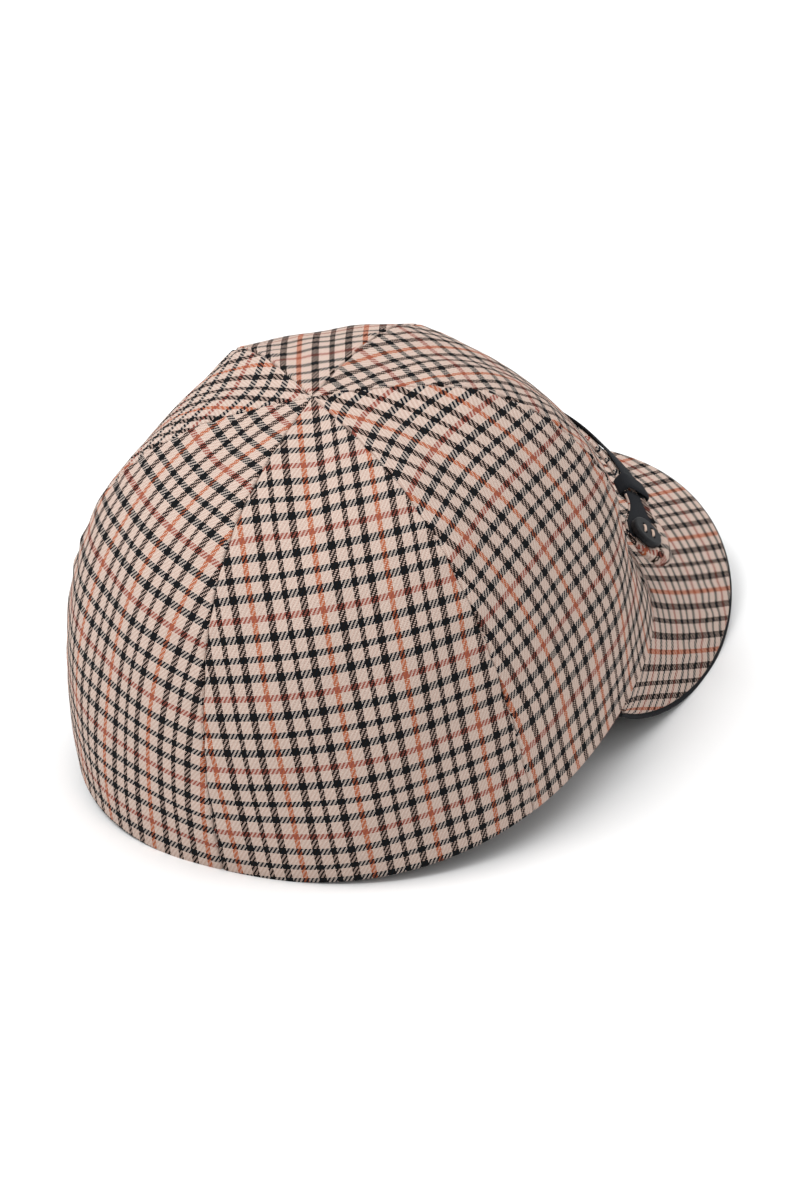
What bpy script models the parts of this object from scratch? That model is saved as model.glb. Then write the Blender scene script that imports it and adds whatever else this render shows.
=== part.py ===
"""Six-panel cap of woven check cloth with an arched peak and a buttoned strap over the front.

Metres, +Z up. The cap stands as it rests by itself: on the rear of its hem and on the two sides
of its peak. The peak points along -Y, the wearer's right is -X, and the origin is on the floor
under the middle of the box that holds the cap.
"""

import math

import bmesh
import bpy
import numpy as np
from mathutils import Matrix

# Crown
CROWN_LENGTH = 0.207      # hem, front to back
CROWN_WIDTH = 0.167       # hem, side to side
CROWN_HEIGHT = 0.1115     # hem to apex
APEX_SETBACK = 0.016      # the apex lies this far behind the middle of the hem
APEX_RISE = 0.0016        # small lift where the six points meet
APEX_HOLE = 0.003         # across the small gap between the points
APEX_SPREAD = 0.25        # share of the crown's reach that the lift covers
HEM_SQUARENESS = 0.87     # 1 is an ellipse, less is squarer
SHOULDER = 0.66           # less gives fuller shoulders
RISE_POWER = 0.96
PANEL_HOLLOW = 0.0035     # each panel's middle lies this far inside its seams
HOLLOW_POWER = 0.7
DENT = {"depth": 0.0056, "angle": 47.0, "angle_spread": 20.0, "height": 0.026, "height_spread": 0.017}
CLOTH = 0.0018            # crown wall
SEAM_GAP = 0.0003         # between neighbouring pieces
SEAM_ANGLES = {"side": 59.5, "rear": 114.5, "back": 180.0}  # degrees from the front

# Peak
PEAK_LENGTH = 0.0805      # along its middle, from the hem
PEAK_HALF_ANGLE = 88.5    # degrees from the front to where the peak ends on the hem
PEAK_TAPER = 0.95         # how fast the length falls off to the sides
PEAK_SHAPE = 1.8          # less gives a more pointed outline with fuller sides
PEAK_DROOP_MIDDLE = 22.5  # degrees below the hem's plane
PEAK_DROOP_SIDE = 97.5
PEAK_FAN = 0.40           # turn of the side edges for each degree round the hem
PEAK_COVER = 0.0011       # cloth on top
PEAK_BOARD = 0.0022       # dark underside with its edge
PEAK_LIP = 0.0020         # how far the underside's edge stands out past the cover
PEAK_END = 0.985          # share of the half angle where the cloth stops
PEAK_START = 0.0005       # from the hem to the peak's root

# Strap, with a stretch over the front, a keeper and a buttoned end on each side
STRAP_WIDTH = 0.012
STRAP_CLOTH = 0.0022
STRAP_BACKING = 0.0009
STRAP_FRONT = {"height": 0.033, "stand_off": 0.0085, "roll": 10.0}
STRAP_SIDE = {"height": 0.0215, "stand_off": 0.0020, "roll": 35.0}
STRAP_END_ANGLE = 59.5    # degrees from the front to the tip of the strap
END_TAB_WIDTH = 0.020
END_TAB_LENGTH = 0.037
END_TAB_CLOTH = 0.0030
EDGE_THINNING = 0.35      # how much thinner the tab is at its edges
TAB_TIP_ROUNDING = 78.0   # degrees of the round end that are made before it is cut square
KEEPER_LENGTH = 0.0075
KEEPER_WALL = 0.0012
KEEPER_CLEARANCE = 0.0004
BUTTON_DIAMETER = 0.0114
BUTTON_THICKNESS = 0.0024
BUTTON_HOLE = 0.0016
BUTTON_HOLE_SPACING = 0.0034
BUTTON_FROM_TIP = 0.0075   # along the tab
BUTTON_ABOVE = 0.0040      # from the tab's middle towards the crown
BUTTON_EDGE = 0.0006

# Rest
PRESSED = 0.0008          # cloth flattened where it touches the floor

# Fineness
PANEL_COLUMNS = 9
PANEL_ROWS = 16
PEAK_COLUMNS = 44
PEAK_ROWS = 7
STRAP_COLUMNS = 30
STRAP_ROWS = 3
TAB_COLUMNS = 12
TAB_ROWS = 5
ROUND_SEGMENTS = 32
STEP = 1e-4               # for slopes taken as differences

MATERIALS = {
    "check_cloth": {"color": (0.50, 0.38, 0.32), "roughness": 0.9},
    "dark_cloth": {"color": (0.028, 0.030, 0.033), "roughness": 0.75},
    "button_plastic": {"color": (0.015, 0.015, 0.017), "roughness": 0.4},
}


def hem_point(angle, reach):
    """A point of the hem's outline, drawn in to the given share of its reach, before it leans back."""
    front, side = np.cos(angle), np.sin(angle)
    x = -CROWN_WIDTH / 2 * reach * np.sign(side) * np.abs(side) ** HEM_SQUARENESS
    y = -CROWN_LENGTH / 2 * reach * np.sign(front) * np.abs(front) ** HEM_SQUARENESS
    return x, y


def panel_share(angle):
    """Where the angle lies between the two seams beside it, from 0 to 1."""
    right = [0.0] + [math.radians(seam) for seam in SEAM_ANGLES.values()]
    seams = np.array([-seam for seam in right[:0:-1]] + right)
    first = np.clip(np.searchsorted(seams, angle, side="right") - 1, 0, len(seams) - 2)
    return (angle - seams[first]) / (seams[first + 1] - seams[first])


def softness(angle, climb):
    """How far the cloth lies inside the smooth form: hollow panels, and a dent behind each strap end."""
    hollow = PANEL_HOLLOW * np.sin(math.pi * panel_share(angle)) * np.sin(2 * climb) ** HOLLOW_POWER
    turn = (np.degrees(np.abs(angle)) - DENT["angle"]) / DENT["angle_spread"]
    height = (CROWN_HEIGHT * np.sin(climb) - DENT["height"]) / DENT["height_spread"]
    return hollow + DENT["depth"] * np.exp(-(turn**2) - height**2)


def crown_point(angle, climb, soft=1.0):
    """The crown's outer face: angle from the front, climb from 0 at the hem to pi/2 at the apex."""
    angle, climb = np.broadcast_arrays(np.asarray(angle, float), np.asarray(climb, float))
    reach = np.cos(climb) ** SHOULDER
    rise = np.sin(climb) ** RISE_POWER
    inward = soft * softness(angle, climb)
    x, y = hem_point(angle, reach)
    x = x + inward * np.cos(climb) * np.sin(angle)
    y = y + inward * np.cos(climb) * np.cos(angle) + APEX_SETBACK * rise
    lift = APEX_RISE * np.exp(-((reach / APEX_SPREAD) ** 2))
    z = CROWN_HEIGHT * rise + lift - inward * np.sin(climb)
    return np.stack([x, y, z], -1)


def unit(vectors):
    return vectors / np.linalg.norm(vectors, axis=-1, keepdims=True)


def crown_normal(angle, climb):
    """Outward direction of the crown's smooth form, shared by the panels on both sides of a seam."""
    low, high = np.maximum(climb - STEP, 0.0), climb + STEP
    along = crown_point(angle, high, 0.0) - crown_point(angle, low, 0.0)
    around = crown_point(angle + STEP, climb, 0.0) - crown_point(angle - STEP, climb, 0.0)
    return unit(np.cross(along, around))


def climb_rows(count):
    """Climbs from the hem to the small hole at the apex, spaced evenly along the wall."""
    top = math.acos((APEX_HOLE / CROWN_WIDTH) ** (1 / SHOULDER))
    fine = top * (1 - np.linspace(1, 0, 4000) ** 3)
    line = crown_point(math.pi / 2, fine, 0.0)
    length = np.concatenate([[0], np.cumsum(np.linalg.norm(np.diff(line, axis=0), axis=1))])
    return np.interp(np.linspace(0, length[-1], count + 1), length, fine)


def drawn_in(grid):
    """Moves the first and last columns half a gap inwards, so that neighbours stay apart."""
    grid = grid.copy()
    grid[0] += unit(grid[1] - grid[0]) * SEAM_GAP / 2
    grid[-1] += unit(grid[-2] - grid[-1]) * SEAM_GAP / 2
    return grid


def crown_panel(first, last):
    """Outer and inner faces of the panel between two seam angles."""
    angle = np.radians(np.linspace(first, last, PANEL_COLUMNS + 1))[:, None]
    climb = climb_rows(PANEL_ROWS)[None, :]
    outer = crown_point(angle, climb)
    inner = outer - CLOTH * crown_normal(*np.broadcast_arrays(angle, climb))
    return drawn_in(outer), drawn_in(inner)


def peak_point(angle, share, lip=0.0):
    """The peak's top face: straight lines from the hem that droop and shorten towards the sides."""
    side = np.abs(angle) / math.radians(PEAK_HALF_ANGLE)
    length = PEAK_LENGTH * (1 - side**PEAK_SHAPE) ** PEAK_TAPER + lip * np.sqrt(1 - side**2)
    droop = np.radians(PEAK_DROOP_MIDDLE + (PEAK_DROOP_SIDE - PEAK_DROOP_MIDDLE) * side**2)
    turn = PEAK_FAN * angle
    line = np.stack(
        [-np.cos(droop) * np.sin(turn), -np.cos(droop) * np.cos(turn), -np.sin(droop)], -1
    )
    root = crown_point(angle, 0 * angle)
    return root + line * (PEAK_START + (length - PEAK_START) * share)[..., None]


def peak_normal(angle, share):
    around = peak_point(angle + STEP, share) - peak_point(angle - STEP, share)
    along = peak_point(angle, share + STEP) - peak_point(angle, share - STEP)
    return unit(np.cross(around, along))


def peak_layer(depth, thickness, lip=0.0):
    """A layer of the peak, this far below its top face and longer than it by the lip."""
    half = math.radians(PEAK_HALF_ANGLE) * PEAK_END
    angle = np.linspace(-half, half, PEAK_COLUMNS + 1)[:, None]
    share = np.linspace(0, 1, PEAK_ROWS + 1)[None, :]
    angle, share = np.broadcast_arrays(angle, share)
    top = peak_point(angle, share, lip)
    normal = peak_normal(angle, share)
    return top - depth * normal, top - (depth + thickness) * normal


def peak_underside():
    return peak_layer(PEAK_COVER + SEAM_GAP, PEAK_BOARD, PEAK_LIP)


def strap_frame(angle):
    """Middle of the strap at an angle, with its directions along, across (up) and out."""
    blend = np.clip(np.abs(angle) / math.radians(STRAP_END_ANGLE), 0, 1)
    blend = blend * blend * (3 - 2 * blend)
    size = {
        name: STRAP_FRONT[name] + (STRAP_SIDE[name] - STRAP_FRONT[name]) * blend
        for name in STRAP_FRONT
    }
    climb = np.arcsin((size["height"] / CROWN_HEIGHT) ** (1 / RISE_POWER))
    normal = crown_normal(angle, climb)
    middle = crown_point(angle, climb, 0.0) + normal * size["stand_off"][..., None]
    return middle, normal, np.radians(size["roll"])[..., None]


def strap_grid(angle, across, out):
    """Points of the strap: across its width and out of its middle face, both in metres."""
    middle, normal, roll = strap_frame(angle)
    ahead = strap_frame(angle + STEP)[0] - strap_frame(angle - STEP)[0]
    along = unit(ahead)
    up = unit(np.cross(along, normal))
    up = np.where(up[..., 2:] < 0, -up, up)
    out_of = unit(np.cos(roll) * normal + np.sin(roll) * up)
    width = unit(np.cos(roll) * up - np.sin(roll) * normal)
    return middle + width * across[..., None] + out_of * out[..., None]


def strap_angles(lengths):
    """Angles at these lengths along the strap, counted back from its tip."""
    fine = np.radians(np.linspace(STRAP_END_ANGLE, 0, 800))
    line = strap_frame(fine)[0]
    run = np.concatenate([[0], np.cumsum(np.linalg.norm(np.diff(line, axis=0), axis=1))])
    return np.interp(lengths, run, fine)


KEEPER_MIDDLE = END_TAB_LENGTH - KEEPER_LENGTH / 2


def strap_layer(low, high):
    """The stretch over the front, between two distances from the strap's middle face."""
    end = float(strap_angles(END_TAB_LENGTH + SEAM_GAP))
    angle = np.linspace(-end, end, STRAP_COLUMNS + 1)[:, None]
    across = np.linspace(-STRAP_WIDTH / 2, STRAP_WIDTH / 2, STRAP_ROWS + 1)[None, :]
    angle, across = np.broadcast_arrays(angle, across)
    return strap_grid(angle, across, 0 * across + high), strap_grid(angle, across, 0 * across + low)


def end_tab(side):
    """The buttoned end: straight, with a round tip."""
    radius = END_TAB_WIDTH / 2
    bend = np.radians(np.linspace(TAB_TIP_ROUNDING, 0, TAB_COLUMNS // 2 + 1))
    tip = radius - radius * np.sin(bend)
    straight = np.linspace(radius, END_TAB_LENGTH, TAB_COLUMNS // 2 + 1)[1:]
    length = np.concatenate([tip, straight])
    narrowing = np.clip((straight - radius) / (KEEPER_MIDDLE - KEEPER_LENGTH - radius), 0, 1)
    narrowing = narrowing * narrowing * (3 - 2 * narrowing)
    half_width = np.concatenate(
        [radius * np.cos(bend), radius + (STRAP_WIDTH / 2 - radius) * narrowing]
    )
    angle = side * strap_angles(length)[:, None]
    share = np.linspace(-1, 1, TAB_ROWS + 1)[None, :]
    angle, across = np.broadcast_arrays(angle, half_width[:, None] * share)
    thinning = np.concatenate([0 * bend, narrowing])[:, None]
    puff = END_TAB_CLOTH / 2 + (STRAP_CLOTH - END_TAB_CLOTH) / 2 * thinning
    puff = puff * (1 - EDGE_THINNING * np.broadcast_to(share, across.shape) ** 4)
    return strap_grid(angle, across, puff), strap_grid(angle, across, -puff)


def keeper_rings(side):
    """Four-sided sleeve round the strap: outer and inner rings of corners at its two ends."""
    lengths = KEEPER_MIDDLE + KEEPER_LENGTH / 2 * np.array([-1.0, 1.0])
    angle = side * strap_angles(lengths)
    inner_half = np.array([STRAP_WIDTH, STRAP_CLOTH]) / 2 + KEEPER_CLEARANCE
    corners = np.array([[-1, -1], [1, -1], [1, 1], [-1, 1]], float)
    rings = []
    for half in (inner_half + KEEPER_WALL, inner_half):
        for station in angle:
            ring = corners * half
            spot = np.full(4, station)
            rings.append(strap_grid(spot, ring[:, 0], ring[:, 1]))
    return rings


def tilted(points, tilt):
    """The cap turned about the rearmost point of its hem, which stays on the floor."""
    rear = CROWN_LENGTH / 2
    y, z = points[..., 1] - rear, points[..., 2]
    turned = np.stack(
        [points[..., 0], math.cos(tilt) * y + math.sin(tilt) * z + rear,
         -math.sin(tilt) * y + math.cos(tilt) * z], -1
    )
    return turned


def resting_tilt():
    """The tilt at which the peak's lowest edge reaches the floor, found by halving."""
    edge = peak_underside()
    low, high = 0.0, math.radians(45)
    for _ in range(40):
        tilt = (low + high) / 2
        lowest = min(tilted(face, tilt)[..., 2].min() for face in edge)
        low, high = (tilt, high) if lowest < 0 else (low, tilt)
    return high


def shell_mesh(name, outer, inner):
    """A closed mesh between two faces given as grids of the same size."""
    rows, columns = outer.shape[:2]
    count = rows * columns
    mesh = bpy.data.meshes.new(name)
    place = np.arange(count).reshape(rows, columns)
    quads = np.stack([place[:-1, :-1], place[1:, :-1], place[1:, 1:], place[:-1, 1:]], -1)
    quads = quads.reshape(-1, 4)
    border = np.concatenate([place[:, 0], place[-1, 1:], place[-2::-1, -1], place[0, -2:0:-1]])
    following = np.roll(border, -1)
    rim = np.stack([border, following, following + count, border + count], -1)
    faces = np.concatenate([quads, quads[:, ::-1] + count, rim])
    points = np.concatenate([outer.reshape(-1, 3), inner.reshape(-1, 3)])
    mesh.from_pydata(points.tolist(), [], faces.tolist())
    return mesh


def sleeve_mesh(name, rings):
    """A closed four-sided sleeve from its outer and inner rings."""
    corners = len(rings[0])
    mesh = bpy.data.meshes.new(name)
    faces = []
    for first, second in ((0, 1), (1, 3), (3, 2), (2, 0)):
        for i in range(corners):
            j = (i + 1) % corners
            faces.append(
                [first * corners + i, first * corners + j, second * corners + j, second * corners + i]
            )
    mesh.from_pydata(np.concatenate(rings).tolist(), [], faces)
    return mesh


def faces_outwards(mesh):
    """Turns the faces outwards and shades the mesh smooth."""
    shape = bmesh.new()
    shape.from_mesh(mesh)
    bmesh.ops.recalc_face_normals(shape, faces=shape.faces)
    if shape.calc_volume(signed=True) < 0:
        bmesh.ops.reverse_faces(shape, faces=shape.faces)
    shape.to_mesh(mesh)
    shape.free()
    mesh.shade_smooth()
    mesh.set_sharp_from_angle(angle=math.radians(40))


def add_object(name, mesh, material, parent):
    thing = bpy.data.objects.new(name, mesh)
    mesh.materials.append(material)
    thing.parent = parent
    bpy.context.scene.collection.objects.link(thing)
    return thing


def make_material(name, look):
    material = bpy.data.materials.new(name)
    material.use_nodes = True
    shader = material.node_tree.nodes["Principled BSDF"]
    shader.inputs["Base Color"].default_value = (*look["color"], 1.0)
    shader.inputs["Roughness"].default_value = look["roughness"]
    shader.inputs["Metallic"].default_value = 0.0
    return material


def cylinder_mesh(name, diameter, depth):
    mesh = bpy.data.meshes.new(name)
    shape = bmesh.new()
    bmesh.ops.create_cone(
        shape, cap_ends=True, segments=ROUND_SEGMENTS, radius1=diameter / 2, radius2=diameter / 2,
        depth=depth,
    )
    shape.to_mesh(mesh)
    shape.free()
    return mesh


def button_axes(side, place):
    """Centre and directions of a button on its tab, in the resting cap."""
    spot = np.array([side * strap_angles(BUTTON_FROM_TIP)]).ravel()
    zero = np.zeros(1)
    seat = END_TAB_CLOTH / 2 + SEAM_GAP
    centre = place(strap_grid(spot, zero + BUTTON_ABOVE, zero + seat + BUTTON_THICKNESS / 2))[0]
    out = unit(place(strap_grid(spot, zero, zero + 1.0))[0] - place(strap_grid(spot, zero, zero))[0])
    up = unit(place(strap_grid(spot, zero + 1.0, zero))[0] - place(strap_grid(spot, zero, zero))[0])
    along = np.cross(up, out)
    return centre, along, up, out


def add_button(name, side, place, material, parent):
    """A round button with four thread holes."""
    centre, along, up, out = button_axes(side, place)
    turn = Matrix(np.stack([along, up, out], 1).tolist()).to_4x4()
    button = add_object(name, cylinder_mesh(name, BUTTON_DIAMETER, BUTTON_THICKNESS), material, parent)
    button.matrix_world = Matrix.Translation(centre) @ turn
    edge = button.modifiers.new("edge", "BEVEL")
    edge.width = BUTTON_EDGE
    edge.segments = 2
    for number, (x, y) in enumerate(((-1, -1), (1, -1), (1, 1), (-1, 1))):
        cutter = add_object(
            f"{name}_hole_{number}", cylinder_mesh("hole", BUTTON_HOLE, 3 * BUTTON_THICKNESS),
            material, parent,
        )
        offset = Matrix.Translation((x * BUTTON_HOLE_SPACING / 2, y * BUTTON_HOLE_SPACING / 2, 0))
        cutter.matrix_world = button.matrix_world @ offset
        cutter.hide_render = True
        cutter.display_type = "WIRE"
        hole = button.modifiers.new("thread hole", "BOOLEAN")
        hole.object = cutter
        hole.solver = "EXACT"


def crown_pieces():
    front, side, rear, back = 0.0, *SEAM_ANGLES.values()
    spans = {"front": (front, side), "side": (side, rear), "rear": (rear, back)}
    pieces = {}
    for place, (first, last) in spans.items():
        pieces[f"panel_{place}_right"] = crown_panel(first, last)
        pieces[f"panel_{place}_left"] = crown_panel(-first, -last)
    return pieces


def main():
    for thing in list(bpy.data.objects):
        bpy.data.objects.remove(thing, do_unlink=True)
    materials = {name: make_material(name, look) for name, look in MATERIALS.items()}
    tilt = resting_tilt()

    shells = {name: (faces, "check_cloth") for name, faces in crown_pieces().items()}
    shells["peak_cover"] = (peak_layer(0.0, PEAK_COVER), "check_cloth")
    shells["peak_underside"] = (peak_underside(), "dark_cloth")
    cloth = STRAP_CLOTH / 2
    shells["strap_front"] = (strap_layer(-cloth, cloth), "check_cloth")
    backing = strap_layer(cloth + SEAM_GAP, cloth + SEAM_GAP + STRAP_BACKING)
    shells["strap_facing"] = (backing, "dark_cloth")
    for name, side in (("right", 1), ("left", -1)):
        shells[f"strap_end_{name}"] = (end_tab(side), "check_cloth")

    peak_tip = min(tilted(face, tilt)[..., 1].min() for face in shells["peak_underside"][0])
    crown_back = max(
        tilted(faces[0], tilt)[..., 1].max() for name, (faces, _) in shells.items() if "rear" in name
    )
    middle = (peak_tip + crown_back) / 2

    def place(points):
        """From the hem's frame to the resting cap, before its lowest edge is pressed flat."""
        moved = tilted(points, tilt)
        return moved - np.array([0.0, middle, PRESSED])

    def pressed(points):
        moved = place(points)
        moved[..., 2] = np.maximum(moved[..., 2], 0.0)
        return moved

    cap = bpy.data.objects.new("cap", None)
    bpy.context.scene.collection.objects.link(cap)
    for name, ((outer, inner), material) in shells.items():
        mesh = shell_mesh(name, pressed(outer), pressed(inner))
        faces_outwards(mesh)
        add_object(name, mesh, materials[material], cap)
    for name, side in (("right", 1), ("left", -1)):
        mesh = sleeve_mesh(f"strap_keeper_{name}", [place(ring) for ring in keeper_rings(side)])
        faces_outwards(mesh)
        add_object(f"strap_keeper_{name}", mesh, materials["dark_cloth"], cap)
        add_button(f"button_{name}", side, place, materials["button_plastic"], cap)


main()
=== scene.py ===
import math

import bpy
import numpy as np
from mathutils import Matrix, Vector


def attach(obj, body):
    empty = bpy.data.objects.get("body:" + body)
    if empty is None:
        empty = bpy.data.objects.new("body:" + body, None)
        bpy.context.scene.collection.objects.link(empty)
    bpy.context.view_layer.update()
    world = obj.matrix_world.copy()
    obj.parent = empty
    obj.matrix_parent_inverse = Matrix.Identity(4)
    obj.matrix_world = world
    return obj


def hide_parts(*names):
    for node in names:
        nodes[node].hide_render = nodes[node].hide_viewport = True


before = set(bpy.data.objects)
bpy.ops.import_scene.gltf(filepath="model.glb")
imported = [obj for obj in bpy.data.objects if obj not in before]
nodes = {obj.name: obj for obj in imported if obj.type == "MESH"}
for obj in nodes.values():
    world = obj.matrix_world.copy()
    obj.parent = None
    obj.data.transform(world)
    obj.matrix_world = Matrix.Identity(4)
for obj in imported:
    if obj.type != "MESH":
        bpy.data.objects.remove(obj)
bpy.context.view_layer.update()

# Six-panel check cap at rest, dressed for a soft studio picture. Lengths are metres, angles degrees.
print("frame loaded:", len(nodes), "solids")

# The crown's form is the solids' own, drawn finer.
crown = {
    "length": 0.207, "width": 0.167, "height": 0.1115, "squareness": 0.87, "shoulder": 0.66,
    "risePower": 0.96, "apexSetback": 0.016, "apexRise": 0.0016, "apexSpread": 0.25,
    "hollow": 0.0035, "hollowPower": 0.7, "cloth": 0.0018,
    "sideSeam": 59.5, "rearSeam": 114.5, "backSeam": 180.0,
    "dentDepth": 0.0056, "dentAngle": 47.0, "dentAngleSpread": 20.0,
    "dentHeight": 0.026, "dentHeightSpread": 0.017,
    "tilt": 11.731, "pressed": 0.0008,
    "columns": 72, "rows": 120, "apexGap": 0.0004,
    "seamRound": 0.0011, "hemRound": 0.0008,
    "seamColumns": (0, 0.0012, 0.003, 0.006, 0.010), "bodyColumns": 0.015,
    "hemRows": (0, 0.06, 0.2, 0.45, 0.8), "bodyRows": 1.3, "thinnest": 0.0009,
    "puckerDepth": 0.00035, "puckerLength": 0.013, "puckerReach": 0.009,
    "puckerShift": 0.9, "puckerUneven": 1.3, "puckerDrift": 0.37, "hemFade": 0.012, "topFade": 0.03,
    "wave": 0.0007, "waveAcross": 9.1, "waveUp": 55.0, "slowAcross": 3.0, "slowUp": 31.0, "waveFade": 0.02,
    "seedStep": 1.7, "fineSteps": 6000, "floorTouch": 2e-5,
}
step = 1e-4  # for slopes, in radians or in shares


def rearHem():
    # The rearmost point of the hem that lies on the floor, read from the solids.
    rearmost = []
    for side in ("right", "left"):
        mesh = nodes["panel_rear_" + side].data
        places = np.zeros(len(mesh.vertices) * 3, np.float32)
        mesh.vertices.foreach_get("co", places)
        places = places.reshape(-1, 3).astype(float)
        rearmost.append(places[places[:, 2] < crown["floorTouch"], 1].max())
    return float(max(rearmost))


hemBack = rearHem()


def atRest(points):
    # The hem's frame turned by the tilt about the rear of the hem, set on the floor and pressed flat there.
    tilt = math.radians(crown["tilt"])
    y = points[..., 1] - crown["length"] / 2
    z = points[..., 2]
    turnedY = math.cos(tilt) * y + math.sin(tilt) * z + hemBack
    turnedZ = -math.sin(tilt) * y + math.cos(tilt) * z - crown["pressed"]
    return np.stack([points[..., 0], turnedY, np.maximum(turnedZ, 0.0)], -1)


def unit(vectors):
    # Each vector divided by its length.
    return vectors / np.maximum(np.linalg.norm(vectors, axis=-1, keepdims=True), 1e-12)


def smooth(share):
    # 3 s^2 - 2 s^3, level at both ends.
    share = np.clip(share, 0, 1)
    return share * share * (3 - 2 * share)


def panelShare(angle):
    # How far an angle has gone from one seam to the next, from 0 to 1.
    right = [0.0] + [math.radians(crown[name]) for name in ("sideSeam", "rearSeam", "backSeam")]
    seams = np.array([-seam for seam in right[:0:-1]] + right)
    first = np.clip(np.searchsorted(seams, angle, side="right") - 1, 0, len(seams) - 2)
    return (angle - seams[first]) / (seams[first + 1] - seams[first])


def crownPoint(angle, climb, soft=1.0):
    # A superellipse of the hem, drawn in by cos(climb) to the shoulder power and lifted by sin(climb) to
    # the rise power, with panel middles and the strap's dents moved inwards.
    angle, climb = np.broadcast_arrays(np.asarray(angle, float), np.asarray(climb, float))
    reach = np.cos(climb) ** crown["shoulder"]
    rise = np.sin(climb) ** crown["risePower"]
    hollow = crown["hollow"] * np.sin(math.pi * panelShare(angle))
    hollow = hollow * np.sin(2 * climb) ** crown["hollowPower"]
    turn = (np.degrees(np.abs(angle)) - crown["dentAngle"]) / crown["dentAngleSpread"]
    height = (crown["height"] * np.sin(climb) - crown["dentHeight"]) / crown["dentHeightSpread"]
    inward = soft * (hollow + crown["dentDepth"] * np.exp(-(turn**2) - height**2))
    front, side = np.cos(angle), np.sin(angle)
    x = -crown["width"] / 2 * reach * np.sign(side) * np.abs(side) ** crown["squareness"]
    y = -crown["length"] / 2 * reach * np.sign(front) * np.abs(front) ** crown["squareness"]
    x = x + inward * np.cos(climb) * side
    y = y + inward * np.cos(climb) * front + crown["apexSetback"] * rise
    lift = crown["apexRise"] * np.exp(-((reach / crown["apexSpread"]) ** 2))
    z = crown["height"] * rise + lift - inward * np.sin(climb)
    return np.stack([x, y, z], -1)


def crownNormal(angle, climb):
    # The cross product of the crown's slopes up and around, without its hollows.
    low, high = np.maximum(climb - step, 0.0), climb + step
    along = crownPoint(angle, high, 0.0) - crownPoint(angle, low, 0.0)
    around = crownPoint(angle + step, climb, 0.0) - crownPoint(angle - step, climb, 0.0)
    return unit(np.cross(along, around))


def runLength(points, axis):
    # Distance travelled along one axis of a grid of points, starting from 0.
    legs = np.linalg.norm(np.diff(points, axis=axis), axis=-1)
    start = np.zeros_like(np.take(legs, [0], axis=axis))
    return np.concatenate([start, np.cumsum(legs, axis=axis)], axis=axis)


def roundedDrop(distance, radius):
    # How far a rounded edge of this radius falls away at a distance from its end.
    inside = np.clip(radius - distance, 0, radius)
    return radius - np.sqrt(np.maximum(radius**2 - inside**2, 0))


def outwards(faces, quads, outer, inner):
    # Faces are turned round where the outer grid's own normals point at the inner grid.
    first, second, third = (outer.reshape(-1, 3)[quads[:, corner]] for corner in (0, 1, 3))
    away = (outer - inner).reshape(-1, 3)[quads[:, 0]]
    if (np.cross(second - first, third - first) * away).sum() < 0:
        return faces[:, ::-1]
    return faces


def newPiece(name, points, faces):
    mesh = bpy.data.meshes.new(name)
    mesh.from_pydata(points.tolist(), [], faces)
    mesh.validate()
    mesh.shade_smooth()
    piece = bpy.data.objects.new(name, mesh)
    bpy.context.scene.collection.objects.link(piece)
    return piece


def layCloth(piece, uv):
    # Gives each corner of the mesh its point's place on the flat cloth, the same for both grids.
    mesh = piece.data
    corners = np.zeros(len(mesh.loops), int)
    mesh.loops.foreach_get("vertex_index", corners)
    flat = np.concatenate([uv.reshape(-1, 2)] * 2)[corners]
    mesh.uv_layers.new(name="cloth").data.foreach_set("uv", flat.astype(np.float32).ravel())


def shellPiece(name, outer, inner, uv):
    # A closed mesh between two grids of points: both faces, and a strip round the border.
    rows, columns = outer.shape[:2]
    count = rows * columns
    place = np.arange(count).reshape(rows, columns)
    quads = np.stack([place[:-1, :-1], place[1:, :-1], place[1:, 1:], place[:-1, 1:]], -1).reshape(-1, 4)
    border = np.concatenate([place[:, 0], place[-1, 1:], place[-2::-1, -1], place[0, -2:0:-1]])
    following = np.roll(border, -1)
    rim = np.stack([border, following, following + count, border + count], -1)
    faces = outwards(np.concatenate([quads, quads[:, ::-1] + count, rim]), quads, outer, inner)
    points = np.concatenate([outer.reshape(-1, 3), inner.reshape(-1, 3)])
    piece = newPiece(name, points, faces.tolist())
    layCloth(piece, uv)
    piece.data.set_sharp_from_angle(angle=math.radians(60))
    return piece


def finishPiece(piece, node, material):
    piece.data.materials.append(material)
    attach(piece, "root")
    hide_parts(node)


def addNode(tree, kind, **settings):
    node = tree.nodes.new(kind)
    for name, value in settings.items():
        setattr(node, name, value)
    return node


def plug(tree, value, socket):
    if isinstance(value, bpy.types.NodeSocket):
        tree.links.new(value, socket)
    else:
        socket.default_value = value


def calc(tree, operation, *values):
    node = addNode(tree, "ShaderNodeMath", operation=operation)
    for value, socket in zip(values, node.inputs):
        plug(tree, value, socket)
    return node.outputs[0]


def blendColor(tree, share, first, second, kind="MIX"):
    node = addNode(tree, "ShaderNodeMix", data_type="RGBA", blend_type=kind)
    plug(tree, share, node.inputs["Factor"])
    plug(tree, first, node.inputs[6])
    plug(tree, second, node.inputs[7])
    return node.outputs[2]


def newGroup(name, inputs, outputs):
    group = bpy.data.node_groups.new(name, "ShaderNodeTree")
    for title, kind in inputs:
        group.interface.new_socket(title, in_out="INPUT", socket_type="NodeSocket" + kind)
    for title, kind in outputs:
        group.interface.new_socket(title, in_out="OUTPUT", socket_type="NodeSocket" + kind)
    return group, addNode(group, "NodeGroupInput"), addNode(group, "NodeGroupOutput")


weave = {"repeat": 4.0, "onTop": 1.5, "roundPower": 2.5, "fibreScale": 2600.0, "fibreDetail": 3.0}


def threadSide(tree, place):
    # Where a point lies across its thread, from -1 to 1.
    return calc(tree, "SUBTRACT", calc(tree, "MULTIPLY", calc(tree, "FRACT", place), 2.0), 1.0)


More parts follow.
